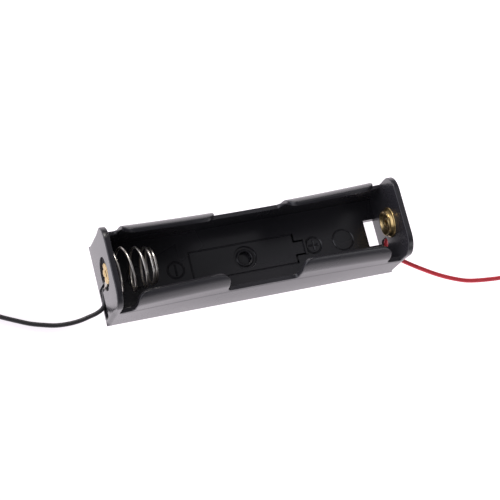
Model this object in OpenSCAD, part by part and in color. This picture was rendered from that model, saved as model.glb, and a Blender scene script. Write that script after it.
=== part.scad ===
// Cylindrical cell holder: an open moulded cradle for one round cell, with a
// coil spring at its negative end, a brass button at its positive end and one
// bare-ended lead riveted and soldered to each.
// Frame: X runs from the negative end to the positive end, Z is up, and the
// origin is the middle of the underside, on the surface the holder stands on.

/* [Holder] */
// Length over the two end walls
holder_l = 77; // [74:0.5:84]
// Width over the two side walls
holder_w = 20.9; // [20:0.1:24]
// Height of the end walls
holder_h = 20; // [19.5:0.1:22]
// Thickness of the floor
floor_t = 2; // [1.6:0.1:3]
// Thickness of each end wall
end_t = 1.5; // [1.4:0.1:2.2]
// Thickness of the side walls and wings
side_t = 1.2; // [1:0.1:1.5]
// Radius of the rounded upper corners of the end walls
end_r = 4.6; // [3:0.1:6]
// Radius of the upright outer corners
corner_r = 1; // [0.5:0.1:1.4]
// How far each side wall bows inwards halfway along
bow = 0.94; // [0:0.02:1]

/* [Wings] */
// Height of the side walls in the cut-outs between the wings
notch_z = 11.3; // [8:0.1:12]
// Height at which a wing starts to curl inwards over the cell
curl_z = 14.2; // [13:0.1:15]
// Outer radius of the curl
curl_r = 5.8; // [5:0.1:6]
// Angle through which a wing curls
curl_a = 52.5; // [30:0.5:54]
// Distance from the middle of the holder to the near edge of a wing
wing_x0 = 9.3; // [6:0.1:14]
// Distance from the middle of the holder to the far edge of a wing
wing_x1 = 33.2; // [30:0.1:34]
// Radius of a wing's upper corners, measured round the curl
wing_r = 2.7; // [1:0.1:3.4]

/* [Floor] */
// Diameter of the fixing screw's hole
screw_d = 3.2; // [2:0.1:3.6]
// Thickness of the web left across the bottom of the hole, to be pierced
web_t = 0.4; // [0.2:0.1:0.8]
// Width of the window in the floor at the positive end
window_w = 7.1; // [4:0.1:9]
// Length of the window in the floor
window_l = 3.4; // [2:0.1:5]
// Depth of the moulded marks in the floor
mark_t = 0.2; // [0.1:0.05:0.4]

/* [Contacts] */
// Height of the cell's axis and of both contacts
axis_z = 11.2; // [10:0.1:12]
// Diameter of the spring wire
wire_d = 0.7; // [0.5:0.05:0.9]
// Radius of the spring's first open turn, to the middle of the wire
spring_r0 = 5.6; // [5:0.1:6]
// Diameter of the brass button's flange
flange_d = 7.8; // [7:0.1:8.2]
// Diameter of the brass button's raised boss
boss_d = 6.4; // [6:0.1:6.8]
// How far the boss stands out from the end wall
boss_t = 1.5; // [1.2:0.1:2]
// Diameter of the round pocket behind each contact
pocket_d = 8.4; // [7:0.1:9]
// Depth of the pocket
pocket_t = 0.8; // [0.6:0.05:0.9]
// Diameter of the rivet shanks and of their holes
rivet_d = 3.2; // [2.6:0.1:3.6]

/* [Leads] */
// Diameter over the insulation of each lead
lead_d = 1.15; // [1:0.05:1.2]
// Diameter of the stranded conductor
core_d = 0.6; // [0.4:0.05:0.7]
// Mean diameter of the coil that each lead's spare length is wound into
coil_d = 12.8; // [11.5:0.1:14]
// Length of the tinned end of each lead
tip_l = 5; // [3:0.5:8]

/* [Hidden] */

xo = holder_l / 2;              // outer face of an end wall
xi = xo - end_t;                // inner face of an end wall
yo = holder_w / 2;              // outer face of a side wall
curl_y = yo - curl_r;           // centre of the curl, across the holder
curl_ri = curl_r - side_t;      // inner radius of the curl
lip_z = curl_z + curl_r * sin(curl_a);
draft = 0.1;                    // lean of the wings' end edges
fillet = 1.1;                   // radius in the bottom corners of the cut-outs
groove_t = 1.15;                  // depth of the lead's groove in an end wall

// ---- side walls ----------------------------------------------------------

// inward bow of a side wall at length x and height z
function sag(x, z) = bow * max(0, 1 - pow(x / (xi - 0.5), 2)) * pow(sin(90 * min(z, 18) / 18), 2.4);

// closed section of one side wall, outside going up and inside coming down
wall_section = concat(
    [for (z = [0, 3, 6, 8.5, 11.2]) [yo, z]],
    [for (i = [0:7]) let (a = curl_a * i / 7) [curl_y + curl_r * cos(a), curl_z + curl_r * sin(a)]],
    [for (i = [7:-1:0]) let (a = curl_a * i / 7) [curl_y + curl_ri * cos(a), curl_z + curl_ri * sin(a)]],
    [for (z = [11.2, 8.5, 6, 3, 0]) [yo - side_t, z]]);

// stations along the wall
wall_x = concat([-xi - 0.5], [for (i = [-7:7]) i * (xi - 0.5) / 7], [xi + 0.5]);

// triangles round a stack of rings, n points to a ring
function sides(rings, n) =
    [for (k = [0:rings - 2]) for (i = [0:n - 1]) let (j = (i + 1) % n)
        each [[k * n + i, k * n + j, (k + 1) * n + j], [k * n + i, (k + 1) * n + j, (k + 1) * n + i]]];
// the same with a flat face over each end
function skin(rings, n) = concat(sides(rings, n),
    [[for (i = [n - 1:-1:0]) i]],
    [[for (i = [0:n - 1]) (rings - 1) * n + i]]);

// triangles across the ends of a wall, from its outside to its inside
function wall_ends(rings, n) = let (m = (rings - 1) * n)
    [for (i = [0:n / 2 - 2]) each
        [[m + i, m + i + 1, m + n - 2 - i], [m + i, m + n - 2 - i, m + n - 1 - i],
         [i, n - 2 - i, i + 1], [i, n - 1 - i, n - 2 - i]]];

module side_wall() {
    n = len(wall_section);
    pts = [for (x = wall_x) for (p = wall_section) [x, p[0] - sag(x, p[1]), p[1]]];
    polyhedron(points = pts, faces = [for (f = concat(sides(len(wall_x), n), wall_ends(len(wall_x), n))) reversed(f)], convexity = 6);
}

// ---- cut-outs ------------------------------------------------------------

// height of the point s millimetres round the wing from the foot of the curl
function round_z(s) = s <= 0 ? curl_z + s : curl_z + curl_r * sin(s / curl_r * 180 / PI);
wing_s = curl_r * curl_a * PI / 180;

// upright edge of a wing that starts at x0 and grows towards +x (dir 1) or -x
function wing_edge(x0, dir) = concat(
    [for (a = [0:30:90]) [x0 - dir * fillet * (1 - sin(a)), notch_z + fillet * (1 - cos(a))]],
    [for (a = [0:15:90]) let (s = wing_s - wing_r * (1 - sin(a)) )
        [x0 + dir * (draft * (curl_z - notch_z) + wing_r * (1 - cos(a))), round_z(s) + (a == 90 ? 0.02 : 0)]],
    [[x0 + dir * (draft * (curl_z - notch_z) + wing_r), holder_h + 1]]);

module along_y(pts) {
    translate([0, holder_w, 0]) rotate([90, 0, 0]) linear_extrude(height = 2 * holder_w) polygon(pts);
}

function reversed(v) = [for (i = [len(v) - 1:-1:0]) v[i]];

module cut_outs() {
    along_y(concat(wing_edge(wing_x0, 1), reversed(wing_edge(-wing_x0, -1))));
    for (s = [0, 1]) mirror([s, 0, 0])
        along_y(concat([[xi, notch_z]], wing_edge(wing_x1, -1), [[xi, holder_h + 1]]));
}

// ---- end walls -----------------------------------------------------------

module end_outline() {
    polygon([[-yo, 0], [yo, 0], [yo, holder_h - end_r], [yo - end_r, holder_h],
             [end_r - yo, holder_h], [-yo, holder_h - end_r]]);
    for (s = [-1, 1]) translate([s * (yo - end_r), holder_h - end_r]) circle(r = end_r, $fn = 96);
}

// plan outline with its four upright corners rounded
module plan_outline() {
    square([holder_l - 2 * corner_r, holder_w], center = true);
    square([holder_l, holder_w - 2 * corner_r], center = true);
    for (x = [-1, 1]) for (y = [-1, 1])
        translate([x * (xo - corner_r), y * (yo - corner_r)]) circle(r = corner_r, $fn = 48);
}

module end_walls() {
    intersection() {
        linear_extrude(height = holder_h) plan_outline();
        for (s = [-1, 1])
            translate([s > 0 ? xi : -xo, 0, 0])
                rotate([90, 0, 90]) linear_extrude(height = end_t) end_outline();
    }
}

// pocket, rivet hole, lead groove and lead hole at the end whose x is s
module end_cuts(s) {
    translate([s * (xo + 1), 0, axis_z]) rotate([0, -90 * s, 0])
        cylinder(d = pocket_d, h = pocket_t + 1, $fn = 96);
    translate([s * (xo + 1), 0, axis_z]) rotate([0, -90 * s, 0])
        cylinder(d = rivet_d, h = end_t + 3, $fn = 64);
    // groove: down from the pocket, then forwards to the front corner
    translate([s > 0 ? xo - groove_t : -xo - 1, -2.9, 2]) cube([groove_t + 1, 1.5, 6.2]);
    translate([s > 0 ? xo - groove_t : -xo - 1, -9.2, 1.2]) cube([groove_t + 1, 7.8, 3.6]);
    // small upright slot through the web beside the groove
    for (z = [3.4, 5.3]) translate([s * (xo + 1), -3.6, z]) rotate([0, -90 * s, 0])
        cylinder(d = 2.4, h = end_t + 3, $fn = 48);
    translate([s * (xi + end_t / 2) - end_t, -4.8, 3.4]) cube([2 * end_t, 2.4, 1.9]);
}

// ---- floor marks ---------------------------------------------------------

module ring_mark(x, d, w) {
    translate([x, 0, floor_t - mark_t]) difference() {
        cylinder(d = d + w, h = mark_t + 1, $fn = 64);
        translate([0, 0, -1]) cylinder(d = d - w, h = mark_t + 3, $fn = 64);
    }
}

module bar_mark(x, y, lx, ly) {
    translate([x - lx / 2, y - ly / 2, floor_t - mark_t]) cube([lx, ly, mark_t + 1]);
}

module floor_marks() {
    // sign of the negative end
    ring_mark(-18.5, 4.2, 0.4);
    bar_mark(-18.5, 0, 0.5, 2.4);
    // sign of the positive end
    ring_mark(18.7, 4.2, 0.4);
    bar_mark(18.7, 0, 0.5, 2.4);
    bar_mark(18.7, 0, 2.4, 0.5);
    // outline of a cell with its button end
    for (s = [-1, 1]) bar_mark(-0.4, s * 3.85, 28, 0.3);
    bar_mark(-14.4, 0, 0.3, 8);
    for (s = [-1, 1]) bar_mark(13.6, s * 2.83, 0.3, 2.34);
    for (s = [-1, 1]) bar_mark(15, s * 1.8, 2.9, 0.3);
    bar_mark(16.3, 0, 0.3, 3.9);
    // ejector pin marks
    ring_mark(26.9, 5.5, 0.25);
    ring_mark(-28.5, 5.5, 0.25);
}

// blind hole with a low collar round its mouth, in a round recess
module fixing_hole() {
    translate([0, 0, web_t]) cylinder(d = screw_d, h = floor_t + 2, $fn = 64);
    difference() {
        translate([0, 0, floor_t - 0.6]) cylinder(d = 6, h = 2, $fn = 64);
        cylinder(d = 4.6, h = floor_t - 0.1, $fn = 64);
    }
}

module body() {
    color([0.10, 0.10, 0.11]) difference() {
        union() {
            translate([-xi - 0.5, -yo + side_t / 2, 0]) cube([holder_l - 2 * end_t + 1, holder_w - side_t, floor_t]);
            end_walls();
            side_wall();
            mirror([0, 1, 0]) side_wall();
        }
        cut_outs();
        for (s = [-1, 1]) end_cuts(s);
        fixing_hole();
        translate([xi - window_l, -3.1, -1]) cube([window_l, window_w, floor_t + 2]);
        floor_marks();
    }
}

// ---- swept round sections ------------------------------------------------

function unit(v) = v / norm(v);
// two directions across the path at point i
function heading(p, i) = unit(p[min(i + 1, len(p) - 1)] - p[max(i - 1, 0)]);
function across(t) = unit(cross(t, abs(t[2]) > 0.9 ? [0, 1, 0] : [0, 0, 1]));

module tube(path, r, sides) {
    n = len(path);
    pts = [for (i = [0:n - 1]) let (t = heading(path, i), u = across(t), v = cross(u, t))
           for (k = [0:sides - 1]) let (a = 360 * (k + 0.5) / sides) path[i] + r * (cos(a) * u + sin(a) * v)];
    polyhedron(points = pts, faces = skin(n, sides), convexity = 4);
}

// ---- contacts ------------------------------------------------------------

// solid turned about the line of the contacts; outline as [radius, x]
module turned(pts) {
    translate([0, 0, axis_z]) rotate([0, 90, 0]) rotate_extrude($fn = 96) polygon(pts);
}

// wire centre line: turn number to distance along X, and to radius
coil_x = [[-1.1, -xi + 0.37], [-1, -xi + 0.4], [-0.7, -xi + 0.95], [0, -xi + 3.2], [0.5, -xi + 5.3],
          [1, -xi + 6.9], [2, -xi + 9.4], [3, -xi + 10.4], [3.6, -xi + 10.8]];
coil_r = [[-1.1, spring_r0 + 0.4], [0, spring_r0], [1, spring_r0 - 0.45], [2, spring_r0 - 0.85],
          [3, spring_r0 - 1.2], [3.6, spring_r0 - 1.4]];
function coil_pt(n) = let (a = 2 + 360 * n, r = lookup(n, coil_r))
    [lookup(n, coil_x), r * cos(a), axis_z + r * sin(a)];
// tail of the first turn, spiralling in under the rivet's head
function tail_pt(n) = let (a = 2 + 360 * n, r = 2.3 + (spring_r0 - 1.9) * (n + 1.75) / 0.65)
    [-xi + 0.37, r * cos(a), axis_z + r * sin(a)];
spring_path = concat(
    [for (k = [-42:1:-27]) tail_pt(k / 24)],
    [for (k = [-26:1:85]) coil_pt(k / 24)]);

module negative_spring() {
    color([0.72, 0.72, 0.74]) tube(spring_path, wire_d / 2, 8);
}

// hollow rivet: rolled head inside, flared tail in the pocket outside
module rivet(head_d, head_x, head_t) {
    turned([[0.9, xi - head_x - head_t], [head_d / 2 - 0.2, xi - head_x - head_t], [head_d / 2, xi - head_x - head_t + 0.2],
            [head_d / 2, xi - head_x], [rivet_d / 2, xi - head_x], [rivet_d / 2, xo - pocket_t],
            [2.5, xo - pocket_t], [2.7, xo - pocket_t + 0.15], [2.7, xo - pocket_t + 0.4],
            [2.5, xo - pocket_t + 0.55], [1.5, xo - pocket_t + 0.55], [0.9, xo - pocket_t + 0.25]]);
}

module negative_rivet() {
    color([0.75, 0.62, 0.32]) mirror([1, 0, 0]) rivet(6, 0.74, 0.35);
}

module positive_rivet() {
    color([0.75, 0.62, 0.32]) rivet(3.6, boss_t - 0.7, 0.3);
}

// drawn button: flat flange, raised rounded boss and a sunk middle
module positive_button() {
    t = 0.3;
    color([0.78, 0.64, 0.32]) turned([
        [rivet_d / 2, xi - boss_t + 0.7], [rivet_d / 2, xi - boss_t + 1],
        [2.3, xi - boss_t + 1], [2.5, xi - boss_t + t], [boss_d / 2 - t, xi - boss_t + t + 0.2],
        [boss_d / 2 - t, xi], [flange_d / 2, xi], [flange_d / 2, xi - t],
        [boss_d / 2, xi - t], [boss_d / 2, xi - boss_t + 0.3], [boss_d / 2 - 0.3, xi - boss_t],
        [2.3, xi - boss_t], [2, xi - boss_t + 0.7]]);
}

// ---- solder, cores and leads ---------------------------------------------

// low dome of solder on the lower edge of a rivet's tail
module solder(s) {
    translate([s * (xo - pocket_t + 0.3), -1.9, axis_z - 2.7]) scale(0.9) sphere(r = 0.95, $fn = 32);
}

module negative_solder() { color([0.80, 0.80, 0.82]) difference() { solder(-1); negative_rivet(); body_wall(-1); core(-1); } }
module positive_solder() { color([0.80, 0.80, 0.82]) difference() { solder(1); positive_rivet(); body_wall(1); core(1); } }

// the wall's web behind a pocket, which the solder stops against
module body_wall(s) {
    translate([s > 0 ? xi - 1 : -xo + pocket_t, -8, 0]) cube([1 + end_t - pocket_t, 16, holder_h]);
}

// stripped stretch of a lead between its insulation and the solder
core_path = [[37.95, -2.2, 5], [37.95, -2.2, 5.9], [37.95, -2.15, 6.8], [38, -2.05, 7.7], [37.95, -1.9, 8.6]];
module core(s) {
    tube([for (p = core_path) [s * p[0], p[1], p[2]]], core_d / 2, 8);
}
module negative_core() { color([0.80, 0.80, 0.82]) core(-1); }
module positive_core() { color([0.80, 0.80, 0.82]) core(1); }

// routes of the leads, from the groove to the start of the coil
lead_z = 0.6;
black_route = [[-37.95, -2.2, 5], [-37.95, -2.5, 3.8], [-37.95, -3.2, 2.7], [-38, -4.4, 2.1], [-38.3, -5.5, 1.8],
               [-39.2, -6.4, 1.6], [-40.6, -7, 1.2], [-42.5, -7.4, 0.8], [-45, -7.9, lead_z], [-48, -8.1, lead_z], [-51, -7.9, lead_z],
               [-54, -7.2, lead_z], [-57, -6.3, lead_z], [-60, -5, lead_z], [-63, -3.6, lead_z],
               [-66, -2.1, lead_z], [-69, -0.9, lead_z], [-72, 0.2, lead_z], [-75, 1.1, lead_z], [-77, 1.7, lead_z]];
red_route = [[37.95, -2.2, 5], [37.95, -2.5, 3.8], [37.95, -3.2, 2.7], [38, -4.4, 2.1], [38.2, -5.4, 1.9],
             [38.9, -6.3, 1.7], [40.1, -7.1, 1.4], [42, -8.3, 0.9], [44.5, -9.9, lead_z], [47, -11.5, lead_z], [49.5, -13, lead_z],
             [52, -14.3, lead_z], [55, -15.6, lead_z], [58, -16.6, lead_z], [61, -17.1, lead_z],
             [64, -17.4, lead_z], [67, -17.6, lead_z], [70, -17.6, lead_z], [73, -17.5, lead_z],
             [76, -17.4, lead_z], [79, -17.2, lead_z], [82, -17, lead_z]];

module black_lead() { color([0.16, 0.15, 0.16]) tube(black_route, lead_d / 2, 8); }
module red_lead() { color([0.80, 0.20, 0.22]) tube(red_route, lead_d / 2, 8); }

// spare length of a lead, wound flat in two layers: outer shape of the coil
black_coil_at = [-75, 8.4];
red_coil_at = [81.5, -10];
module coil_ring(at) {
    translate([at[0], at[1], 0]) rotate_extrude($fn = 96)
        translate([coil_d / 2 - lead_d, 0.02]) square([2 * lead_d, 2 * lead_d]);
}
module black_coil() { color([0.16, 0.15, 0.16]) coil_ring(black_coil_at); }
module red_coil() { color([0.80, 0.20, 0.22]) coil_ring(red_coil_at); }

// last stretch of each lead, off the top of the coil and down to the surface
black_end = [[-81.4, 9.1, 1.8], [-81.1, 11.6, 1.8], [-80.8, 14.1, 1.7], [-80.6, 16.1, 1.1], [-80.4, 18.1, lead_z]];
red_end = [[86, -14.6, 1.8], [87.8, -12.9, 1.8], [89.6, -11.1, 1.7], [91, -9.7, 1.1], [92.4, -8.3, lead_z]];
module black_tail() { color([0.16, 0.15, 0.16]) tube(black_end, lead_d / 2, 8); }
module red_tail() { color([0.80, 0.20, 0.22]) tube(red_end, lead_d / 2, 8); }

// tinned end of a lead, on the same line as the stretch before it
module tip(path) {
    a = path[len(path) - 3];
    b = path[len(path) - 1];
    translate(b) rotate([0, 0, atan2(b[1] - a[1], b[0] - a[0])]) rotate([0, 90, 0])
        cylinder(d = core_d, h = tip_l, $fn = 24);
}
module black_tip() { color([0.80, 0.80, 0.82]) tip(black_end); }
module red_tip() { color([0.80, 0.80, 0.82]) tip(red_end); }

body();
negative_spring();
negative_rivet();
positive_button();
positive_rivet();
negative_solder();
positive_solder();
negative_core();
positive_core();
black_lead();
red_lead();
black_coil();
red_coil();
black_tail();
red_tail();
black_tip();
red_tip();
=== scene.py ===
import math

import bmesh
import bpy
import numpy as np
from mathutils import Matrix, Vector
from mathutils.geometry import delaunay_2d_cdt


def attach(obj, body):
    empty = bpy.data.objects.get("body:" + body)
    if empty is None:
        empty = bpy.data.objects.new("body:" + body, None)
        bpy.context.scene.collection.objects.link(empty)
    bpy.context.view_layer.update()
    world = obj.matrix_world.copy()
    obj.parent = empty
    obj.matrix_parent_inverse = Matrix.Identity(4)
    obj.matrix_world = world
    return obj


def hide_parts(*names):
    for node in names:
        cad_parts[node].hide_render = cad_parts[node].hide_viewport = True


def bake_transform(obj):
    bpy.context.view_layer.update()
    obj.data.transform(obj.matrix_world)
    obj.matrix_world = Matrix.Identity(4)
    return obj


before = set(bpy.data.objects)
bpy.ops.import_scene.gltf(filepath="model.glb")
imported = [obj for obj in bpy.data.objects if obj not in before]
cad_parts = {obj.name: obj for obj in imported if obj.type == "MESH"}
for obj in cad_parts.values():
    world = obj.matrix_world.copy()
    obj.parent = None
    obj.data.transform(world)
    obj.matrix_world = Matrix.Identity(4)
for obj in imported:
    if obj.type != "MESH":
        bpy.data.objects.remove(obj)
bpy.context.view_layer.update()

MM = 0.001
scene = bpy.context.scene
scene.view_settings.view_transform = "Standard"
scene.view_settings.look = "None"
scene.view_settings.exposure = 0.0
scene.view_settings.gamma = 1.0

# --------------------------------------------------------------------------
# camera: the photograph's viewing angle
# --------------------------------------------------------------------------
right = Vector((0.9415, -0.24289, 0.23363)).normalized()
back = Vector((-0.29039, -0.23286, 0.92814))
back = (back - right * back.dot(right)).normalized()
up = back.cross(right)
cam_data = bpy.data.cameras.new("camera")
cam_data.sensor_width = 36.0
cam_data.lens = 1618.4 * 36.0 / 500.0
cam_data.clip_start = 0.01
cam_data.clip_end = 10.0
cam = bpy.data.objects.new("camera", cam_data)
scene.collection.objects.link(cam)
m = Matrix.Identity(4)
for i in range(3):
    m[i][0], m[i][1], m[i][2] = right[i], up[i], back[i]
m[0][3], m[1][3], m[2][3] = -0.118168, -0.094434, 0.385285
cam.matrix_world = m
scene.camera = cam


# --------------------------------------------------------------------------
# mesh helpers (all shapes are drawn in millimetres and scaled when linked)
# --------------------------------------------------------------------------
def make(name, verts, faces, smooth_angle=None, mm=True):
    me = bpy.data.meshes.new(name)
    k = MM if mm else 1.0
    me.from_pydata([tuple(float(c) * k for c in v) for v in verts], [], [tuple(int(i) for i in f) for f in faces])
    me.validate()
    me.update()
    ob = bpy.data.objects.new(name, me)
    scene.collection.objects.link(ob)
    if smooth_angle is not None:
        smooth(ob, smooth_angle)
    return ob


def smooth(ob, angle=35.0):
    """Smooth shading with hard edges where faces meet at more than angle."""
    me = ob.data
    bm = bmesh.new()
    bm.from_mesh(me)
    lim = math.radians(angle)
    for f in bm.faces:
        f.smooth = True
    for e in bm.edges:
        e.smooth = len(e.link_faces) == 2 and e.calc_face_angle(0.0) < lim
    bm.to_mesh(me)
    bm.free()
    me.update()


def outward(ob):
    bm = bmesh.new()
    bm.from_mesh(ob.data)
    bmesh.ops.recalc_face_normals(bm, faces=bm.faces[:])
    bm.to_mesh(ob.data)
    bm.free()
    ob.data.update()
    return ob


def drop(ob):
    me = ob.data
    bpy.data.objects.remove(ob, do_unlink=True)
    if me.users == 0:
        bpy.data.meshes.remove(me)


def boolean(a, b, op, solver="EXACT"):
    mod = a.modifiers.new("cut", "BOOLEAN")
    mod.object = b
    mod.operation = op
    mod.solver = solver
    bpy.context.view_layer.update()
    dg = bpy.context.evaluated_depsgraph_get()
    me = bpy.data.meshes.new_from_object(a.evaluated_get(dg))
    a.modifiers.clear()
    old = a.data
    a.data = me
    bpy.data.meshes.remove(old)
    drop(b)
    return a


def tidy(ob, merge=0.004, flat=0.4):
    """Welds slivers left by the cuts."""
    bm = bmesh.new()
    bm.from_mesh(ob.data)
    bmesh.ops.remove_doubles(bm, verts=bm.verts[:], dist=merge)
    bmesh.ops.dissolve_degenerate(bm, dist=merge, edges=bm.edges[:])
    bm.to_mesh(ob.data)
    bm.free()
    ob.data.update()


def scale_mm(ob):
    ob.data.transform(Matrix.Scale(MM, 4))
    ob.data.update()
    return ob


def smoothstep(t):
    t = np.clip(t, 0.0, 1.0)
    return t * t * (3 - 2 * t)


def offset_loop(loop, dist):
    """Moves a closed loop inwards (anticlockwise loop) by dist, which may be one number per point."""
    p = np.asarray(loop, float)
    d = np.broadcast_to(np.asarray(dist, float), (len(p),))
    a = p - np.roll(p, 1, axis=0)
    b = np.roll(p, -1, axis=0) - p
    a /= np.linalg.norm(a, axis=1)[:, None]
    b /= np.linalg.norm(b, axis=1)[:, None]
    na = np.stack([-a[:, 1], a[:, 0]], 1)
    nb = np.stack([-b[:, 1], b[:, 0]], 1)
    n = na + nb
    n /= np.maximum(np.linalg.norm(n, axis=1)[:, None], 1e-9)
    c = np.maximum((n * na).sum(1), 0.5)
    return p + n * (d / c)[:, None]


def dense(loop, step):
    out = []
    p = np.asarray(loop, float)
    for i in range(len(p)):
        q, r = p[i], p[(i + 1) % len(p)]
        k = max(1, int(math.ceil(np.linalg.norm(r - q) / step - 1e-6)))
        for j in range(k):
            out.append(q + (r - q) * j / k)
    return np.array(out)


def inside(pts, loop):
    p = np.asarray(loop, float)
    q = np.roll(p, -1, axis=0)
    res = np.zeros(len(pts), bool)
    for (x1, y1), (x2, y2) in zip(p, q):
        cond = (y1 > pts[:, 1]) != (y2 > pts[:, 1])
        if cond.any():
            xs = (x2 - x1) * (pts[:, 1] - y1) / ((y2 - y1) if y2 != y1 else 1e-12) + x1
            res ^= cond & (pts[:, 0] < xs)
    return res


def clear_of(pts, loop, gap):
    p = np.asarray(loop, float)
    q = np.roll(p, -1, axis=0)
    best = np.full(len(pts), 1e9)
    for a, b in zip(p, q):
        ab = b - a
        t = np.clip(((pts - a) @ ab) / max(ab @ ab, 1e-12), 0, 1)
        best = np.minimum(best, np.linalg.norm(pts - (a + t[:, None] * ab), axis=1))
    return best > gap


def fill(loop, grid=None):
    """Triangles over the inside of a closed loop, with extra grid points inside it."""
    loop = np.asarray(loop, float)
    n = len(loop)
    extra = np.zeros((0, 2))
    if grid is not None and len(grid):
        grid = np.asarray(grid, float)
        grid = grid[inside(grid, loop)]
        extra = grid[clear_of(grid, loop, 0.16)]
    pts = np.vstack([loop, extra])
    res = delaunay_2d_cdt([Vector(p) for p in pts], [(i, (i + 1) % n) for i in range(n)], [], 0, 1e-7)
    v = np.array([[c[0], c[1]] for c in res[0]])
    # keep the input numbering
    order = {}
    for new, olds in enumerate(res[3]):
        for o in olds:
            order[o] = new
    back_to = {new: old for old, new in order.items()}
    tri = []
    for f in res[2]:
        c = v[list(f)].mean(0)
        if inside(c[None, :], loop)[0]:
            t = [back_to[i] for i in f]
            a, b, d = pts[t[0]], pts[t[1]], pts[t[2]]
            if (b[0] - a[0]) * (d[1] - a[1]) - (b[1] - a[1]) * (d[0] - a[0]) < 0:
                t = t[::-1]
            tri.append(t)
    return pts, tri


def sheet(name, loop, thick, rr_out, rr_in, place, grid, steps=4):
    """A plate of even thickness over a loop, with rounded rims, laid in space by place(u, v, depth)."""
    loop = np.asarray(loop, float)
    n = len(loop)
    ro = np.broadcast_to(np.asarray(rr_out, float), (n,))
    ri = np.broadcast_to(np.asarray(rr_in, float), (n,))
    rings = []
    for k in range(steps + 1):
        f = math.pi / 2 * k / steps
        rings.append((offset_loop(loop, ro * (1 - math.sin(f))), ro * (1 - math.cos(f))))
    for k in range(steps + 1):
        f = math.pi / 2 * (steps - k) / steps
        rings.append((offset_loop(loop, ri * (1 - math.sin(f))), thick - ri * (1 - math.cos(f))))
    verts, faces = [], []
    for pts, d in rings:
        for (u, v), dd in zip(pts, d):
            verts.append(place(u, v, dd))
    for k in range(len(rings) - 1):
        for i in range(n):
            j = (i + 1) % n
            faces.append([k * n + i, k * n + j, (k + 1) * n + j, (k + 1) * n + i])
    for which, depth, base in ((0, 0.0, 0), (len(rings) - 1, thick, (len(rings) - 1) * n)):
        pts, tri = fill(rings[which][0], grid)
        start = len(verts)
        for u, v in pts[n:]:
            verts.append(place(u, v, depth))
        for t in tri:
            idx = [base + i if i < n else start + i - n for i in t]
            faces.append(idx if which == 0 else idx[::-1])
    ob = make(name, verts, faces, mm=False)
    return outward(ob)


def prism(name, loop, levels, place):
    """A solid over a loop with a ring at each (height, outward growth)."""
    loop = np.asarray(loop, float)
    n = len(loop)
    verts, faces = [], []
    for h, g in levels:
        for u, v in offset_loop(loop, -g):
            verts.append(place(u, v, h))
    for k in range(len(levels) - 1):
        for i in range(n):
            j = (i + 1) % n
            faces.append([k * n + i, k * n + j, (k + 1) * n + j, (k + 1) * n + i])
    _, tri = fill(loop)
    faces += [t[::-1] for t in tri]
    faces += [[(len(levels) - 1) * n + i for i in t] for t in tri]
    return outward(make(name, verts, faces, mm=False))


def fillet_path(pts, radii, n=5):
    """Rounds the corners of an open path of points; radii are per inner point."""
    pts = [np.array(p, float) for p in pts]
    out = [pts[0]]
    for i in range(1, len(pts) - 1):
        r = radii[i - 1] if not isinstance(radii, (int, float)) else radii
        a, b, c = pts[i - 1], pts[i], pts[i + 1]
        u, v = a - b, c - b
        lu, lv = np.linalg.norm(u), np.linalg.norm(v)
        u, v = u / lu, v / lv
        ang = math.acos(max(-1, min(1, float(u @ v))))
        if r <= 0 or ang > math.pi - 0.02:
            out.append(b)
            continue
        t = min(r / math.tan(ang / 2), 0.48 * lu, 0.48 * lv)
        for k in range(n + 1):
            s = k / n
            out.append((1 - s) ** 2 * (b + u * t) + 2 * s * (1 - s) * b + s * s * (b + v * t))
    out.append(pts[-1])
    return np.array(out)


def lathe(name, prof, axis="x", at=(0, 0, 0), n=96, shape=None, mm=False):
    """Turns an open profile of (radius, along) whose ends lie on or off the axis; closed if its ends meet."""
    prof = np.asarray(prof, float)
    closed = np.linalg.norm(prof[0] - prof[-1]) < 1e-6
    if closed:
        prof = prof[:-1]
    verts, faces, rows = [], [], []
    for r, h in prof:
        row = []
        if r < 1e-6 and not closed:
            verts.append((0.0, 0.0, h))
            row = [len(verts) - 1] * n
        else:
            for k in range(n):
                a = 2 * math.pi * k / n
                rr, hh = (r, h) if shape is None else shape(r, h, a)
                verts.append((rr * math.cos(a), rr * math.sin(a), hh))
                row.append(len(verts) - 1)
        rows.append(row)
    m_ = len(rows)
    for i in range(m_ if closed else m_ - 1):
        a, b = rows[i], rows[(i + 1) % m_]
        for k in range(n):
            l = (k + 1) % n
            f = [a[k], a[l], b[l], b[k]]
            g = [f[0]]
            for x in f[1:]:
                if x not in g:
                    g.append(x)
            if len(g) > 2:
                faces.append(g)
    out = []
    for x, y, z in verts:
        if axis == "x":
            out.append((z + at[0], x + at[1], y + at[2]))
        else:
            out.append((x + at[0], y + at[1], z + at[2]))
    return outward(make(name, out, faces, mm=mm))


def frames_along(path):
    """Tangents and a non-twisting pair of side directions along a path."""
    p = np.asarray(path, float)
    t = np.gradient(p, axis=0)
    t /= np.linalg.norm(t, axis=1)[:, None]
    u = np.cross(t[0], [0.0, 0.0, 1.0])
    if np.linalg.norm(u) < 0.1:
        u = np.cross(t[0], [0.0, 1.0, 0.0])
    u /= np.linalg.norm(u)
    us = [u]
    for i in range(1, len(p)):
        u = us[-1] - t[i] * (us[-1] @ t[i])
        us.append(u / np.linalg.norm(u))
    us = np.array(us)
    return p, t, us, np.cross(t, us)


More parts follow.
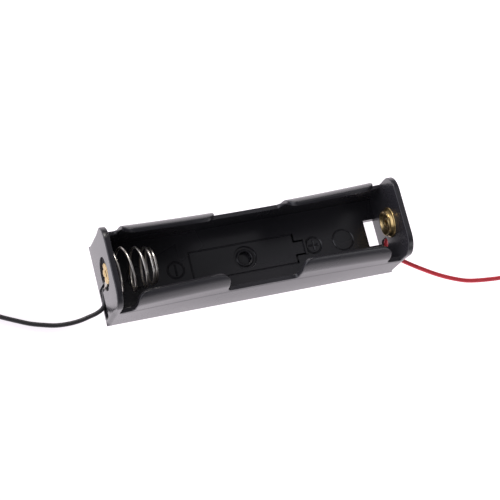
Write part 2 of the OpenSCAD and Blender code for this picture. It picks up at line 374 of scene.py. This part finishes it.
def sweep(name, path, r, sides=16, dome=True, wobble=None, mm=True):
    """A closed round tube along a path, with rounded ends if dome is true."""
    p, t, u, v = frames_along(path)
    rad = np.broadcast_to(np.asarray(r, float), (len(p),)).copy()
    rings = []
    if dome:
        for k in (0.97, 0.75, 0.4):
            c = math.sqrt(1 - k * k)
            rings.append((p[0] - t[0] * rad[0] * 0.35 * k, u[0], v[0], rad[0] * c))
    for i in range(len(p)):
        rings.append((p[i], u[i], v[i], rad[i]))
    if dome:
        for k in (0.4, 0.75, 0.97):
            c = math.sqrt(1 - k * k)
            rings.append((p[-1] + t[-1] * rad[-1] * 0.35 * k, u[-1], v[-1], rad[-1] * c))
    verts, faces = [], []
    for i, (c, a, b, rr) in enumerate(rings):
        for k in range(sides):
            an = 2 * math.pi * k / sides
            q = rr if wobble is None else rr * (1 + wobble(i, an))
            verts.append(c + q * (math.cos(an) * a + math.sin(an) * b))
    for i in range(len(rings) - 1):
        for k in range(sides):
            l = (k + 1) % sides
            faces.append([i * sides + k, i * sides + l, (i + 1) * sides + l, (i + 1) * sides + k])
    faces.append([k for k in range(sides)][::-1])
    faces.append([(len(rings) - 1) * sides + k for k in range(sides)])
    ob = outward(make(name, verts, faces, mm=mm))
    smooth(ob, 50)
    return ob


def spline(pts, step):
    """A smooth line through points (centripetal Catmull-Rom), evenly spaced."""
    p = np.asarray(pts, float)
    p = np.vstack([2 * p[0] - p[1], p, 2 * p[-1] - p[-2]])
    fine = []
    for i in range(1, len(p) - 2):
        a, b, c, d = p[i - 1], p[i], p[i + 1], p[i + 2]
        t0 = 0.0
        t1 = t0 + max(np.linalg.norm(b - a), 1e-9) ** 0.5
        t2 = t1 + max(np.linalg.norm(c - b), 1e-9) ** 0.5
        t3 = t2 + max(np.linalg.norm(d - c), 1e-9) ** 0.5
        for t in np.linspace(t1, t2, 24, endpoint=False):
            a1 = (t1 - t) / (t1 - t0) * a + (t - t0) / (t1 - t0) * b
            a2 = (t2 - t) / (t2 - t1) * b + (t - t1) / (t2 - t1) * c
            a3 = (t3 - t) / (t3 - t2) * c + (t - t2) / (t3 - t2) * d
            b1 = (t2 - t) / (t2 - t0) * a1 + (t - t0) / (t2 - t0) * a2
            b2 = (t3 - t) / (t3 - t1) * a2 + (t - t1) / (t3 - t1) * a3
            fine.append((t2 - t) / (t2 - t1) * b1 + (t - t1) / (t2 - t1) * b2)
    fine.append(p[-2])
    fine = np.array(fine)
    s = np.concatenate([[0], np.cumsum(np.linalg.norm(np.diff(fine, axis=0), axis=1))])
    k = max(2, int(round(s[-1] / step)) + 1)
    want = np.linspace(0, s[-1], k)
    return np.stack([np.interp(want, s, fine[:, i]) for i in range(3)], 1)


# --------------------------------------------------------------------------
# materials
# --------------------------------------------------------------------------
def material(name, base, rough, metallic=0.0, ior=1.5, var=0.15, scale=200.0, bump=0.05, bump_scale=1500.0,
             bump_dist=0.00002, rough_var=0.06, second=None, coat=0.0, sheen=0.0):
    """Principled surface with mottled colour, uneven roughness and a fine moulded or drawn texture."""
    mat = bpy.data.materials.new(name)
    mat.use_nodes = True
    nt = mat.node_tree
    bsdf = nt.nodes["Principled BSDF"]
    bsdf.inputs["Metallic"].default_value = metallic
    bsdf.inputs["IOR"].default_value = ior
    bsdf.inputs["Coat Weight"].default_value = coat
    co = nt.nodes.new("ShaderNodeTexCoord")
    n1 = nt.nodes.new("ShaderNodeTexNoise")
    n1.inputs["Scale"].default_value = scale
    n1.inputs["Detail"].default_value = 4.0
    nt.links.new(co.outputs["Object"], n1.inputs["Vector"])
    ramp = nt.nodes.new("ShaderNodeValToRGB")
    lo = [c * (1 - var) for c in base]
    hi = [min(1.0, c * (1 + var)) for c in (second or base)]
    ramp.color_ramp.elements[0].position = 0.3
    ramp.color_ramp.elements[0].color = (*lo, 1)
    ramp.color_ramp.elements[1].position = 0.7
    ramp.color_ramp.elements[1].color = (*hi, 1)
    nt.links.new(n1.outputs["Fac"], ramp.inputs["Fac"])
    nt.links.new(ramp.outputs["Color"], bsdf.inputs["Base Color"])
    n2 = nt.nodes.new("ShaderNodeTexNoise")
    n2.inputs["Scale"].default_value = scale * 0.6
    n2.inputs["Detail"].default_value = 3.0
    nt.links.new(co.outputs["Object"], n2.inputs["Vector"])
    rmap = nt.nodes.new("ShaderNodeMapRange")
    rmap.inputs["From Min"].default_value = 0.3
    rmap.inputs["From Max"].default_value = 0.7
    rmap.inputs["To Min"].default_value = max(0.02, rough - rough_var)
    rmap.inputs["To Max"].default_value = rough + rough_var
    nt.links.new(n2.outputs["Fac"], rmap.inputs["Value"])
    nt.links.new(rmap.outputs["Result"], bsdf.inputs["Roughness"])
    if bump > 0:
        n3 = nt.nodes.new("ShaderNodeTexNoise")
        n3.inputs["Scale"].default_value = bump_scale
        n3.inputs["Detail"].default_value = 2.0
        nt.links.new(co.outputs["Object"], n3.inputs["Vector"])
        bp = nt.nodes.new("ShaderNodeBump")
        bp.inputs["Strength"].default_value = bump
        bp.inputs["Distance"].default_value = bump_dist
        nt.links.new(n3.outputs["Fac"], bp.inputs["Height"])
        nt.links.new(bp.outputs["Normal"], bsdf.inputs["Normal"])
    return mat


shell_mat = material("moulded_black_plastic", (0.027, 0.0255, 0.030), 0.27, ior=1.52, var=0.10, scale=60,
                     bump=0.05, bump_scale=2200, rough_var=0.03)
spring_mat = material("plated_spring_wire", (0.74, 0.70, 0.65), 0.34, metallic=1.0, var=0.05, scale=500,
                      bump=0.03, bump_scale=4000, rough_var=0.04)
brass_mat = material("stamped_brass", (0.60, 0.43, 0.19), 0.33, metallic=1.0, var=0.05, scale=300,
                     second=(0.66, 0.49, 0.24), bump=0.03, bump_scale=3000, rough_var=0.04)
solder_mat = material("tinned_solder", (0.52, 0.49, 0.44), 0.38, metallic=1.0, var=0.08, scale=900,
                      bump=0.2, bump_scale=4000, rough_var=0.10)
black_mat = material("black_pvc", (0.030, 0.028, 0.030), 0.42, ior=1.5, var=0.15, scale=300,
                     bump=0.15, bump_scale=2500, rough_var=0.06)
red_mat = material("red_pvc", (0.64, 0.04, 0.055), 0.42, ior=1.5, var=0.06, scale=300,
                   bump=0.15, bump_scale=2500, rough_var=0.06)


def paint(ob, mat):
    ob.data.materials.clear()
    ob.data.materials.append(mat)
    return ob


# --------------------------------------------------------------------------
# dimensions, as in the CAD source, in millimetres
# --------------------------------------------------------------------------
L, W, H = 77.0, 20.9, 20.0
FLOOR, END, SIDE = 2.0, 1.5, 1.2
END_R, BOW = 4.6, 0.94
NOTCH, CURL_Z, CURL_R, CURL_A = 11.3, 14.2, 5.8, math.radians(52.5)
WX0, WX1, WR, FIL, DRAFT = 9.3, 33.2, 2.7, 1.1, 0.1
AXIS = 11.2
XO, XI, YO = L / 2, L / 2 - END, W / 2
LEAD_R, LEAD_Z, CORE_R = 0.575, 0.6, 0.3

# --------------------------------------------------------------------------
# cords
# --------------------------------------------------------------------------
black_route = [[-37.95, -2.2, 5], [-37.95, -2.5, 3.8], [-37.95, -3.2, 2.7], [-38, -4.4, 2.1], [-38.3, -5.5, 1.8],
               [-39.2, -6.4, 1.6], [-40.6, -7, 1.2], [-42.5, -7.4, 0.8], [-45, -7.9, LEAD_Z], [-48, -8.1, LEAD_Z], [-51, -7.9, LEAD_Z],
               [-54, -7.2, LEAD_Z], [-57, -6.3, LEAD_Z], [-60, -5, LEAD_Z], [-63, -3.6, LEAD_Z],
               [-66, -2.1, LEAD_Z], [-69, -0.9, LEAD_Z], [-72, 0.2, LEAD_Z], [-75, 1.1, LEAD_Z]]
red_route = [[37.95, -2.2, 5], [37.95, -2.5, 3.8], [37.95, -3.2, 2.7], [38, -4.4, 2.1], [38.2, -5.4, 1.9],
             [38.9, -6.3, 1.7], [40.1, -7.1, 1.4], [42, -8.3, 0.9], [44.5, -9.9, LEAD_Z], [47, -11.5, LEAD_Z], [49.5, -13, LEAD_Z],
             [52, -14.3, LEAD_Z], [55, -15.6, LEAD_Z], [58, -16.6, LEAD_Z], [61, -17.1, LEAD_Z],
             [64, -17.4, LEAD_Z], [67, -17.6, LEAD_Z], [70, -17.6, LEAD_Z], [73, -17.5, LEAD_Z],
             [76, -17.4, LEAD_Z], [79, -17.2, LEAD_Z]]


def coil_turns(centre, first, turn, degrees):
    """Centre line of a neat coil: two turns on the surface, then on top of them."""
    out = []
    for a in np.arange(0, degrees + 0.1, 7.5):
        r = 6.975 - 1.15 * smoothstep((a - 285) / 65) + 0.575 * smoothstep((a - 600) / 60)
        z = LEAD_Z + 1.17 * smoothstep((a - 560) / 85)
        an = math.radians(first + turn * a)
        out.append([centre[0] + r * math.cos(an), centre[1] + r * math.sin(an), z])
    return out


def cord_piece(name, route, centre, first, turn, degrees, end, mat, nodes, tip_node):
    turns = coil_turns(centre, first, turn, degrees)
    path = spline(route + turns + end, 0.75)
    ob = sweep(name, path, LEAD_R, sides=16)
    paint(ob, mat)
    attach(ob, "holder")
    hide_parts(*nodes)
    # tinned end: strands drawn together under solder
    d = path[-1] - path[-5]
    d[2] = 0.0
    d /= np.linalg.norm(d)
    tip_path = np.array([path[-1] + d * s for s in np.linspace(-0.3, 5.0, 28)])
    rad = np.array([CORE_R * (1 + 0.05 * math.sin(5.0 * s)) for s in np.linspace(0, 5.0, 28)])
    rad[-4:] *= np.array([0.98, 0.94, 0.86, 0.72])
    tip = sweep(name.replace("lead", "tinned_end"), tip_path, rad, sides=20,
                wobble=lambda i, a: 0.07 * abs(math.cos(3.5 * (a + 0.22 * i))))
    paint(tip, solder_mat)
    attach(tip, "holder")
    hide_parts(tip_node)
    length = float(np.linalg.norm(np.diff(path, axis=0), axis=1).sum()) * MM
    print("CORD", name, round(length, 4))
    return ob, path


black_end = [[-81.1, 11.6, 1.77], [-80.8, 14.1, 1.7], [-80.6, 16.1, 1.1], [-80.4, 18.1, LEAD_Z]]
red_end = [[87.8, -12.9, 1.77], [89.6, -11.1, 1.7], [91, -9.7, 1.1], [92.4, -8.3, LEAD_Z]]
black_lead, black_path = cord_piece(
    "black_wire_lead", black_route, (-75.0, 8.4), 253.4, -1, 795, black_end,
    black_mat, ["black_lead", "black_coil", "black_tail"], "black_tip")
red_lead, red_path = cord_piece(
    "red_wire_lead", red_route, (81.5, -10.0), 274.1, 1, 755, red_end,
    red_mat, ["red_lead", "red_coil", "red_tail"], "red_tip")


# --------------------------------------------------------------------------
# body
# --------------------------------------------------------------------------
def sag(x, z):
    return BOW * max(0.0, 1 - (x / (XI - 0.5)) ** 2) * math.sin(math.radians(90 * min(z, 18) / 18)) ** 2.4


S_TOP = CURL_Z + CURL_R * CURL_A


def wing_edge(x0, d):
    out = [(x0 - d * FIL * (1 - math.sin(a)), NOTCH + FIL * (1 - math.cos(a))) for a in np.radians(np.linspace(0, 90, 7))]
    lean = DRAFT * (CURL_Z - NOTCH)
    out += [(x0 + d * (lean + WR * (1 - math.cos(a))), S_TOP - WR * (1 - math.sin(a))) for a in np.radians(np.linspace(0, 90, 11))]
    return out


XE = XI + 0.4
top = [(XE, 0.0), (XE, NOTCH)] + wing_edge(WX1, -1) + wing_edge(WX0, 1)[::-1] + wing_edge(-WX0, -1) + wing_edge(-WX1, 1)[::-1]
wall_loop = dense([(-XE, 0.0)] + top + [(-XE, NOTCH)], 0.9)


def wall_place(u, v, d, side=1):
    # a faint step along the outside at the height of the cut-outs
    step = 0.05 * float(smoothstep((v - 10.35) / 0.22)) * (1 - d / SIDE)
    if v <= CURL_Z:
        y, z = YO - d - step, v
    else:
        a = (v - CURL_Z) / CURL_R
        y, z = YO - CURL_R + (CURL_R - d - step) * math.cos(a), CURL_Z + (CURL_R - d - step) * math.sin(a)
    return (u, side * (y - sag(u, z)), z)


wall_rr = np.where(wall_loop[:, 1] < 0.01, 0.08, 0.24)
gx = np.arange(-37, 37.01, 1.0)
gs = [0.9, 2.4, 4.2, 6.2, 8.2, 9.6, 10.3, 10.42, 10.54, 11.2, 12.2, 13.2, 14.0] + list(np.arange(14.4, S_TOP, 0.32))
wall_grid = np.array([(x, s) for s in gs for x in gx])

parts = []
for side in (1, -1):
    parts.append(sheet("wall", wall_loop, SIDE, wall_rr, 0.2, lambda u, v, d, q=side: wall_place(u, v, d, q), wall_grid))


def arc(cx, cy, r, a0, a1, n):
    return [(cx + r * math.cos(math.radians(a)), cy + r * math.sin(math.radians(a))) for a in np.linspace(a0, a1, n)]


end_loop = dense([(-YO, 0.0), (YO, 0.0)] + arc(YO - END_R, H - END_R, END_R, 0, 90, 25) + arc(END_R - YO, H - END_R, END_R, 90, 180, 25), 1.0)
low = 1 - smoothstep((end_loop[:, 1] - 11.0) / 6.0)
end_rr = 0.34 + 0.61 * low
end_rr[end_loop[:, 1] < 0.01] = 0.2
end_grid = np.array([(y, z) for z in np.arange(1.0, 19.5, 1.5) for y in np.arange(-9, 9.1, 1.5)])
for side in (1, -1):
    parts.append(sheet("end", end_loop, END, end_rr, 0.22, lambda u, v, d, q=side: (q * (XO - d), u, v), end_grid, steps=5))

plate = prism("body_shell", dense([(-XE, -YO + 0.6), (XE, -YO + 0.6), (XE, YO - 0.6), (-XE, YO - 0.6)], 60), [(0.0, 0.0), (FLOOR, 0.0)],
              lambda u, v, h: (u, v, h))
shell = plate
for p in parts:
    shell = boolean(shell, p, "UNION")

cutters = []
for q in (-1, 1):
    # pocket behind the contact, with an eased mouth
    cutters.append(lathe("pocket", [(0, XO - 0.8), (4.12, XO - 0.8), (4.2, XO - 0.72), (4.2, XO - 0.16), (4.24, XO - 0.06),
                                    (4.36, XO + 0.02), (4.36, XO + 1), (0, XO + 1)], "x", (0, 0, AXIS), n=96))
    # groove for the lead: short upright slot and long level slot
    up_slot = dense([(-2.9, 3.0), (-1.4, 3.0), (-1.4, 8.0), (-2.9, 8.0)], 60)
    lie_slot = arc(-8.4, 2.0, 0.8, 180, 270, 7) + arc(-2.2, 2.0, 0.8, 270, 360, 7) + arc(-2.2, 4.0, 0.8, 0, 90, 7) + arc(-8.4, 4.0, 0.8, 90, 180, 7)
    levels = [(XO - 1.15, 0.0), (XO - 0.14, 0.0), (XO - 0.05, 0.03), (XO + 0.02, 0.12), (XO + 1, 0.12)]
    cutters.append(prism("slot_a", up_slot, levels, lambda u, v, h: (h, u, v)))
    cutters.append(prism("slot_b", lie_slot, levels, lambda u, v, h: (h, u, v)))
    web = arc(-3.6, 3.4, 1.2, 180, 360, 21) + arc(-3.6, 5.3, 1.2, 0, 180, 21)
    cutters.append(prism("web_slot", web, [(XI - 1, 0.14), (XI - 0.02, 0.14), (XI + 0.05, 0.05), (XI + 0.14, 0.0), (XO, 0.0)],
                         lambda u, v, h: (h, u, v)))
    if q < 0:
        for c in cutters[-4:]:
            c.data.transform(Matrix.Scale(-1, 4, (1, 0, 0)))
            outward(c)

# fixing hole: a rounded collar in a round recess; a thin web closes its bottom, a dark sheet standing in for the shade
# under the holder
cutters.append(lathe("hole", [(0, 0.4), (1.52, 0.4), (1.6, 0.48), (1.6, 1.62), (1.66, 1.78), (1.8, 1.88), (1.95, 1.9), (2.12, 1.88),
                              (2.25, 1.78), (2.3, 1.62), (2.3, 1.46), (2.38, 1.4), (2.9, 1.4), (3.0, 1.48), (3.0, 1.86),
                              (3.05, 1.96), (3.14, 2.0), (3.14, 2.6), (0, 2.6)], "z", (0, 0, 0), n=96))
# window through the floor
wx = [(XI - 3.4 + 0.15, -3.1), (XI, -3.1), (XI, 4.0), (XI - 3.4 + 0.15, 4.0), (XI - 3.4, 3.85), (XI - 3.4, -2.95)]
cutters.append(prism("window", wx, [(-1, 0.0), (3, 0.0)], lambda u, v, h: (u, v, h)))


def ring_cut(x, d, w, t=0.2):
    """A round groove with sloping sides."""
    r = d / 2
    cutters.append(lathe("ring", [(r - 0.04, FLOOR - t), (r + 0.04, FLOOR - t), (r + w / 2, FLOOR - 0.02), (r + w / 2 + 0.04, FLOOR + 0.02),
                                  (r + w / 2 + 0.04, FLOOR + 0.5), (r - w / 2 - 0.04, FLOOR + 0.5), (r - w / 2 - 0.04, FLOOR + 0.02),
                                  (r - w / 2, FLOOR - 0.02), (r - 0.04, FLOOR - t)], "z", (x, 0, 0), n=72))


def bar_cut(x, y, lx, ly, t=0.2):
    """A straight groove with sloping sides."""
    q = dense([(x - lx / 2, y - ly / 2), (x + lx / 2, y - ly / 2), (x + lx / 2, y + ly / 2), (x - lx / 2, y + ly / 2)], 60)
    cutters.append(prism("bar", q, [(FLOOR - t, 0.05 - min(lx, ly) / 2), (FLOOR - 0.02, 0.0), (FLOOR + 0.02, 0.04), (FLOOR + 0.5, 0.04)],
                         lambda u, v, h: (u, v, h)))


ring_cut(-18.5, 4.2, 0.5)
bar_cut(-18.5, 0, 0.5, 3.0)
ring_cut(18.7, 4.2, 0.5)
bar_cut(18.7, 0, 0.5, 2.8)
bar_cut(18.7, 0, 2.8, 0.5)
ring_cut(26.9, 5.5, 0.4, 0.14)
ring_cut(-28.5, 5.5, 0.4, 0.14)
for s in (-1, 1):
    bar_cut(-0.4, s * 3.85, 28.2, 0.42)
bar_cut(-14.4, 0, 0.42, 8.12)
for s in (-1, 1):
    bar_cut(13.6, s * 2.83, 0.42, 2.46)
for s in (-1, 1):
    bar_cut(15.0, s * 1.8, 3.0, 0.42)
bar_cut(16.3, 0, 0.42, 4.02)

for c in cutters:
    shell = boolean(shell, c, "DIFFERENCE")
tidy(shell)
scale_mm(shell)
smooth(shell, 32)
shell.name = "moulded_shell"
paint(shell, shell_mat)
wn = shell.modifiers.new("normals", "WEIGHTED_NORMAL")
wn.keep_sharp = True
wn.weight = 80
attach(shell, "holder")
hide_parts("body")

# --------------------------------------------------------------------------
# spring
# --------------------------------------------------------------------------
WIRE = 0.7
S0 = 5.6
coil_x = [(-1.1, -XI + 0.37), (-1.0, -XI + 0.4), (-0.7, -XI + 0.95), (0, -XI + 3.2), (0.5, -XI + 5.3), (1, -XI + 6.9),
          (2, -XI + 9.4), (3, -XI + 10.4), (3.6, -XI + 10.8)]
coil_r = [(-1.1, S0 + 0.4), (0, S0), (1, S0 - 0.45), (2, S0 - 0.85), (3, S0 - 1.2), (3.6, S0 - 1.4)]


def soft(n, table, w):
    xs, ys = zip(*table)
    w = min(w, n + 1.1, 3.6 - n) if -1.1 < n < 3.6 else 0.0
    return float(np.mean([np.interp(n + k * w, xs, ys) for k in np.linspace(-1, 1, 11)]))


wire = []
for n in np.arange(-1.75, -1.1, 1 / 36):
    a = math.radians(2 + 360 * n)
    r = 2.3 + (S0 - 1.9) * (n + 1.75) / 0.65
    wire.append((-XI + 0.37, r * math.cos(a), AXIS + r * math.sin(a)))
for n in np.arange(-1.1, 3.545, 1 / 36):
    a = math.radians(2 + 360 * n)
    r = soft(n, coil_r, 0.3)
    wire.append((soft(n, coil_x, 0.3), r * math.cos(a), AXIS + r * math.sin(a)))
spring = sweep("coil_spring", wire, WIRE / 2, sides=14, dome=True)
paint(spring, spring_mat)
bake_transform(spring)
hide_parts("negative_spring")


# --------------------------------------------------------------------------
# rivets and button
# --------------------------------------------------------------------------
def rivet(name, q, head_r, head_x, head_t, node):
    x0, x1 = XI - head_x - head_t, XI - head_x
    xt = XO - 0.8
    inner = fillet_path([(0.9, xt + 0.28), (0.9, x0 + 0.12), (1.15, x0), (head_r - 0.12, x0), (head_r, x0 + 0.12), (head_r, x1 - 0.04),
                         (head_r - 0.1, x1), (1.6, x1), (1.6, xt), (2.5, xt + 0.02), (2.7, xt + 0.16), (2.66, xt + 0.4), (2.4, xt + 0.55),
                         (1.5, xt + 0.55), (1.05, xt + 0.42), (0.9, xt + 0.28)], 0.08, n=3)

    def petals(r, h, a):
        if h < xt + 0.01 or r < 1.25:
            return r, h
        s = abs(((math.degrees(a) + 11) % 60) - 30)          # 0 in a split, 30 in a petal's middle
        cut = math.exp(-((s) / 5.5) ** 2)
        lift = 0.10 * math.cos(math.radians(s * 6)) * smoothstep((r - 1.3) / 1.2)
        return r - (r - 1.3) * 0.62 * cut, h - float(lift) * 0.5 - 0.16 * cut * (1 if h > xt + 0.2 else 0)

    ob = lathe(name, inner, "x", (0, 0, AXIS), n=144, shape=petals)
    if q < 0:
        ob.data.transform(Matrix.Scale(-1, 4, (1, 0, 0)))
        outward(ob)
    scale_mm(ob)
    smooth(ob, 40)
    paint(ob, brass_mat)
    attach(ob, "holder")
    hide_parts(node)
    return ob


rivet("negative_hollow_rivet", -1, 3.0, 0.74, 0.35, "negative_rivet")
rivet("positive_hollow_rivet", 1, 1.8, 0.8, 0.3, "positive_rivet")

t = 0.3
XB = XI - 1.5
button_prof = fillet_path([
    (1.62, XB + 0.7), (1.62, XB + 1.0), (2.1, XB + 1.0), (2.55, XB + 0.72), (2.75, XB + 0.55), (2.85, XB + 0.9), (3.3, XI),
    (3.88, XI), (3.95, XI - 0.12), (3.84, XI - 0.3), (3.5, XI - 0.42), (3.12, XB + 0.62), (3.02, XB + 0.42),
    (3.3, XB + 0.24), (3.32, XB + 0.06), (3.12, XB - 0.01), (2.92, XB + 0.06), (2.6, XB + 0.34), (2.25, XB + 0.6),
    (1.95, XB + 0.68), (1.62, XB + 0.7)],
    [0.05, 0.2, 0.2, 0.1, 0.2, 0.05, 0.08, 0.08, 0.12, 0.25, 0.15, 0.06, 0.1, 0.1, 0.12, 0.12, 0.2, 0.2, 0.2], n=5)
button = lathe("positive_contact_button", button_prof, "x", (0, 0, AXIS), n=128)
scale_mm(button)
smooth(button, 40)
paint(button, brass_mat)
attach(button, "holder")
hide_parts("positive_button")

# --------------------------------------------------------------------------
# stripped strands and solder
# --------------------------------------------------------------------------
core_pts = [[37.95, -2.2, 4.8], [37.95, -2.2, 5.3], [37.95, -2.2, 5.9], [37.97, -2.15, 6.8], [38.02, -2.05, 7.7], [38.05, -1.9, 8.7]]
rng = np.random.default_rng(7)


def join(name, obs):
    bm = bmesh.new()
    for o in obs:
        bm.from_mesh(o.data)
    me = bpy.data.meshes.new(name)
    bm.to_mesh(me)
    bm.free()
    for o in obs:
        drop(o)
    ob = bpy.data.objects.new(name, me)
    scene.collection.objects.link(ob)
    smooth(ob, 50)
    return ob


def solder_blob(name, q):
    verts, faces = [], []
    nu, nv = 40, 24
    c = np.array([38.0, -1.95, 8.55])
    for j in range(nv + 1):
        th = math.pi * j / nv
        for i in range(nu):
            ph = 2 * math.pi * i / nu
            d = np.array([math.cos(th), math.sin(th) * math.cos(ph), math.sin(th) * math.sin(ph)])
            r = 0.92 + 0.07 * math.sin(3 * ph + 1.0) * math.sin(th) + 0.05 * math.sin(5 * ph + 2 * th)
            p = c + d * np.array([0.42, 0.78, 0.95]) * r
            p[2] -= 0.25 * max(0.0, -d[2]) ** 2
            verts.append((q * p[0], p[1], p[2]))
    for j in range(nv):
        for i in range(nu):
            k = (i + 1) % nu
            faces.append([j * nu + i, j * nu + k, (j + 1) * nu + k, (j + 1) * nu + i])
    ob = make(name, verts, faces)
    bm = bmesh.new()
    bm.from_mesh(ob.data)
    bmesh.ops.remove_doubles(bm, verts=bm.verts[:], dist=1e-6)
    bmesh.ops.recalc_face_normals(bm, faces=bm.faces[:])
    bm.to_mesh(ob.data)
    bm.free()
    smooth(ob, 60)
    return ob


for q, end in ((-1, "negative"), (1, "positive")):
    base = spline(core_pts, 0.12)
    p, tt, u, v = frames_along(base)
    strands = []
    for k in range(7):
        off = 0.0 if k == 0 else 0.2
        ph = 2 * math.pi * k / 6
        line = []
        for i in range(len(p)):
            a = ph + 0.16 * i
            line.append(p[i] + off * (math.cos(a) * u[i] + math.sin(a) * v[i]))
        line = np.array(line)
        line[:, 0] *= q
        strands.append(sweep("strand", line, 0.1, sides=8))
    core = join(end + "_strands", strands)
    paint(core, solder_mat)
    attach(core, "holder")
    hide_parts(end + "_core")
    blob = solder_blob(end + "_solder_joint", q)
    paint(blob, solder_mat)
    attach(blob, "holder")
    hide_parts(end + "_solder")

# --------------------------------------------------------------------------
# floor and light
# --------------------------------------------------------------------------
floor = make("studio_floor", [(-900, -900, -0.05), (900, -900, -0.05), (900, 900, -0.05), (-900, 900, -0.05)], [(0, 1, 2, 3)])
fmat = bpy.data.materials.new("floor_painted_glow")
fmat.use_nodes = True
fb = fmat.node_tree.nodes["Principled BSDF"]
fb.inputs["Base Color"].default_value = (0.4, 0.4, 0.4, 1)
fb.inputs["Roughness"].default_value = 0.9
fb.inputs["Specular IOR Level"].default_value = 0.0
fb.inputs["Emission Strength"].default_value = 1.0
fn = fmat.node_tree.nodes
fl_ = fmat.node_tree.links
# painted glow: the floor's emission is a bright, slightly magenta pool around the holder, dimmer past its left end and
# fading to 0.42 far out; it paints the light that the black plastic reflects
fc = fn.new("ShaderNodeTexCoord")
flen = fn.new("ShaderNodeVectorMath")
flen.operation = "LENGTH"
fl_.new(fc.outputs["Object"], flen.inputs[0])
fr = fn.new("ShaderNodeMapRange")
fr.interpolation_type = "SMOOTHSTEP"
fr.inputs["From Min"].default_value = 0.092
fr.inputs["From Max"].default_value = 0.18
fl_.new(flen.outputs["Value"], fr.inputs["Value"])
fs = fn.new("ShaderNodeSeparateXYZ")
fl_.new(fc.outputs["Object"], fs.inputs["Vector"])
fx = fn.new("ShaderNodeMapRange")
fx.interpolation_type = "SMOOTHSTEP"
fx.inputs["From Min"].default_value = -0.055
fx.inputs["From Max"].default_value = -0.032
fl_.new(fs.outputs["X"], fx.inputs["Value"])
fg = fn.new("ShaderNodeValToRGB")
fg.color_ramp.elements[0].color = (0.84, 0.79, 0.84, 1)
fg.color_ramp.elements[1].color = (1.20, 1.12, 1.19, 1)
fl_.new(fx.outputs["Result"], fg.inputs["Fac"])
fm = fn.new("ShaderNodeMix")
fm.data_type = "RGBA"
fl_.new(fr.outputs["Result"], fm.inputs[0])
fl_.new(fg.outputs["Color"], fm.inputs[6])
fm.inputs[7].default_value = (0.42, 0.42, 0.42, 1)
fl_.new(fm.outputs[2], fb.inputs["Emission Color"])
paint(floor, fmat)

world = bpy.data.worlds.new("studio")
scene.world = world
world.use_nodes = True
wt = world.node_tree
bg = wt.nodes["Background"]
co = wt.nodes.new("ShaderNodeTexCoord")
sep = wt.nodes.new("ShaderNodeSeparateXYZ")
wt.links.new(co.outputs["Generated"], sep.inputs["Vector"])
ramp = wt.nodes.new("ShaderNodeValToRGB")
ramp.color_ramp.elements[0].position = 0.0
ramp.color_ramp.elements[0].color = (0.22, 0.22, 0.235, 1)
ramp.color_ramp.elements[1].position = 0.45
ramp.color_ramp.elements[1].color = (0.07, 0.07, 0.08, 1)
wt.links.new(sep.outputs["Z"], ramp.inputs["Fac"])
wx_ = wt.nodes.new("ShaderNodeMapRange")
wx_.interpolation_type = "SMOOTHSTEP"
wx_.inputs["From Min"].default_value = -0.25
wx_.inputs["From Max"].default_value = -0.95
wt.links.new(sep.outputs["X"], wx_.inputs["Value"])
wm = wt.nodes.new("ShaderNodeMix")
wm.data_type = "RGBA"
wt.links.new(wx_.outputs["Result"], wm.inputs[0])
wt.links.new(ramp.outputs["Color"], wm.inputs[6])
wm.inputs[7].default_value = (1.75, 1.78, 1.95, 1)
wt.links.new(wm.outputs[2], bg.inputs["Color"])
bg.inputs["Strength"].default_value = 1.0


def softbox(name, at, aim, size, power, colour=(1, 1, 1)):
    data = bpy.data.lights.new(name, "AREA")
    data.shape = "RECTANGLE"
    data.size, data.size_y = size
    data.energy = power
    data.color = colour
    ob = bpy.data.objects.new(name, data)
    ob.location = at
    d = Vector(aim) - Vector(at)
    ob.rotation_euler = d.to_track_quat("-Z", "Y").to_euler()
    scene.collection.objects.link(ob)
    return ob


softbox("back_softbox", (-0.09, 0.48, 0.37), (-0.01, 0, 0.01), (0.30, 0.20), 1.7, (1.0, 0.97, 0.93))
softbox("overhead_softbox", (0.32, 0.10, 0.40), (0.28, 0.08, 0), (0.34, 0.40), 0.16, (0.97, 0.97, 1.0))
softbox("front_softbox", (0.22, -0.30, 0.20), (0.03, 0, 0.01), (0.22, 0.18), 0.22, (0.97, 0.97, 1.0))
